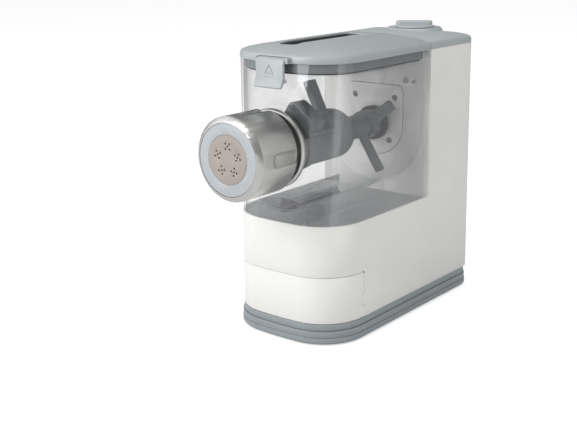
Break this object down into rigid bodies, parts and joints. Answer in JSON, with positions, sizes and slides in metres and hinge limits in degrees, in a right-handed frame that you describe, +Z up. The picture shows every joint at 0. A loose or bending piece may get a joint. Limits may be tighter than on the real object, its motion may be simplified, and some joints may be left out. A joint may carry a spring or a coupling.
{
  "type": "electric pasta maker",
  "caption": "Upright electric pasta maker: white L-shaped housing with drawer, clear mixing chamber with lid and latch, paddle and screw drive, and a screwed metal nozzle.",
  "frame": {"origin": "on the table, under the middle of the machine's length and width", "axes": "+Z up, the nozzle points to -Y, +X is to the right seen from the front"},
  "size_m": [0.1386, 0.3292, 0.2923],
  "materials": {
    "white_body": "satin moulded",
    "grey_plastic": "fine moulded texture",
    "lid_grey": "fine moulded texture",
    "dark_plastic": "moulded",
    "pale_plastic": "moulded",
    "disc_plastic": "moulded",
    "clear_plastic": "clear, smoky",
    "steel": "brushed",
    "plain_steel": "bright",
    "rubber": "matt",
    "black_plastic": "moulded",
    "gear_plastic": "moulded",
    "motor_steel": "plated",
    "board": "laminate"
  },
  "bodies": {
    "housing": {"base_tray": "grey_plastic", "rubber_feet": "rubber", "base_screws": "plain_steel", "main_housing": "white_body", "deck_plate": "grey_plastic", "drawer_runners": "grey_plastic", "drive_panel": "white_body", "panel_screws": "grey_plastic", "chamber_locators": "grey_plastic", "shaft_seal": "rubber", "step_axle": "plain_steel", "front_bearing": "plain_steel", "rear_bearing": "plain_steel", "gearbox_front_plate": "motor_steel", "gearbox_rear_plate": "motor_steel", "gearbox_pillars": "plain_steel", "motor_can": "motor_steel", "motor_end_cap": "black_plastic", "motor_cradle": "black_plastic", "rear_cap": "lid_grey", "selector_switch": "black_plastic", "control_board": "board", "mains_inlet": "black_plastic"},
    "drawer": {"drawer_front": "white_body", "drawer_tray": "pale_plastic"},
    "selector": {"control_knob": "lid_grey", "knob_spindle": "plain_steel"},
    "drive": {"output_shaft": "dark_plastic", "output_gear": "gear_plastic"},
    "step": {"step_gear": "gear_plastic"},
    "rotor": {"motor_rotor": "plain_steel"},
    "chamber": {"chamber_wall": "clear_plastic", "mixing_tub": "clear_plastic", "front_collar": "plain_steel", "extrusion_tube": "dark_plastic"},
    "paddle": {"mixing_paddle": "dark_plastic", "feed_screw": "dark_plastic"},
    "nozzle": {"disc_ring": "pale_plastic", "shaping_disc": "disc_plastic"},
    "nut": {"grip_nut": "steel"},
    "lid": {"lid": "lid_grey", "lid_skirt": "dark_plastic", "lid_gasket": "rubber", "pouring_chute": "dark_plastic", "lid_hinge_pin": "plain_steel", "latch_pin": "plain_steel"},
    "latch": {"latch": "lid_grey"}
  },
  "joints": [
    {"name": "drawer_slide", "type": "slide", "parent": "housing", "child": "drawer", "axis": [0, -1, 0], "range_m": [0, 0.11]},
    {"name": "selector_turn", "type": "hinge", "parent": "housing", "child": "selector", "pos_m": [0.009, 0.1298, 0.29], "axis": [0, 0, 1], "range_deg": [-60, 60]},
    {"name": "shaft_spin", "type": "hinge", "parent": "housing", "child": "drive", "pos_m": [0, 0.0698, 0.1892], "axis": [0, -1, 0], "continuous": true},
    {"name": "step_spin", "type": "hinge", "parent": "housing", "child": "step", "pos_m": [0, 0.0818, 0.1352], "axis": [0, -1, 0], "continuous": true},
    {"name": "rotor_spin", "type": "hinge", "parent": "housing", "child": "rotor", "pos_m": [0, 0.0958, 0.1002], "axis": [0, -1, 0], "continuous": true},
    {"name": "chamber_slide", "type": "slide", "parent": "housing", "child": "chamber", "axis": [0, -1, 0], "range_m": [0, 0.2]},
    {"name": "paddle_spin", "type": "hinge", "parent": "chamber", "child": "paddle", "pos_m": [0, 0.0018, 0.1892], "axis": [0, -1, 0], "continuous": true},
    {"name": "nozzle_advance", "type": "slide", "parent": "chamber", "child": "nozzle", "axis": [0, -1, 0], "range_m": [0, 0.0125]},
    {"name": "nut_turn", "type": "hinge", "parent": "nozzle", "child": "nut", "pos_m": [0, -0.1127, 0.1892], "axis": [0, -1, 0], "range_deg": [0, 180]},
    {"name": "lid_hinge", "type": "hinge", "parent": "chamber", "child": "lid", "pos_m": [0, 0.0638, 0.2784], "axis": [-1, 0, 0], "range_deg": [0, 75]},
    {"name": "latch_turn", "type": "hinge", "parent": "lid", "child": "latch", "pos_m": [0, -0.1, 0.2726], "axis": [-1, 0, 0], "range_deg": [0, 25]}
  ],
  "couplings": [
    {"joint": "shaft_spin", "follows": "step_spin", "ratio": -0.28571},
    {"joint": "rotor_spin", "follows": "step_spin", "ratio": -4},
    {"joint": "paddle_spin", "follows": "step_spin", "ratio": -0.28571},
    {"joint": "nozzle_advance", "follows": "nut_turn", "m_per_rad": 0.0038197}
  ]
}
